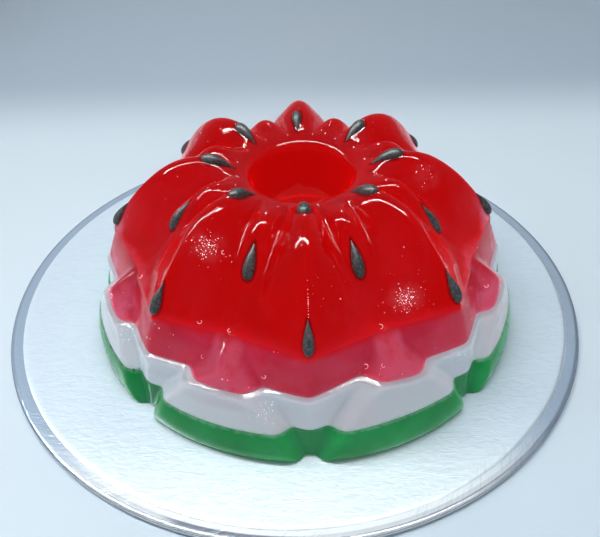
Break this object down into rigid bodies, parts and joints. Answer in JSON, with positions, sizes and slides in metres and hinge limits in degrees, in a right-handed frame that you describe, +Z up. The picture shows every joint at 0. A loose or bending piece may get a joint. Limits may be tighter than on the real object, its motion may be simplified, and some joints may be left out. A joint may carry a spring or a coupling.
{
  "type": "moulded jelly",
  "caption": "Ring-moulded gelatine dessert in green, white, pink and red layers with dark teardrop seeds, served on a round foil-covered cake board.",
  "frame": {"origin": "centre of the cake board's underside", "axes": "+Z up; -Y towards the front of the picture; the jelly's middle is a little to +X and -Y of the board's"},
  "size_m": [0.3, 0.3, 0.0937],
  "materials": {
    "board": "bright smooth foil over card",
    "board_sheet": "pale embossed foil",
    "jelly_green": "wet glossy gelatine, cloudy",
    "jelly_white": "wet glossy gelatine, milky",
    "jelly_pink": "wet glossy gelatine, milky",
    "jelly_red": "wet glossy gelatine, clear deep red",
    "seed": "satin, nearly black"
  },
  "bodies": {
    "root": {"board": "board", "board_sheet": "board_sheet", "jelly_green": "jelly_green", "jelly_white": "jelly_white", "jelly_pink": "jelly_pink", "jelly_red": "jelly_red", "seed_inner_1": "seed", "seed_inner_2": "seed", "seed_inner_3": "seed", "seed_inner_4": "seed", "seed_inner_5": "seed", "seed_inner_6": "seed", "seed_inner_7": "seed", "seed_inner_8": "seed", "seed_middle_1": "seed", "seed_middle_2": "seed", "seed_middle_3": "seed", "seed_middle_4": "seed", "seed_middle_5": "seed", "seed_middle_6": "seed", "seed_middle_7": "seed", "seed_middle_8": "seed", "seed_outer_1": "seed", "seed_outer_2": "seed", "seed_outer_3": "seed", "seed_outer_4": "seed", "seed_outer_5": "seed", "seed_outer_6": "seed", "seed_outer_7": "seed", "seed_outer_8": "seed"}
  },
  "joints": []
}
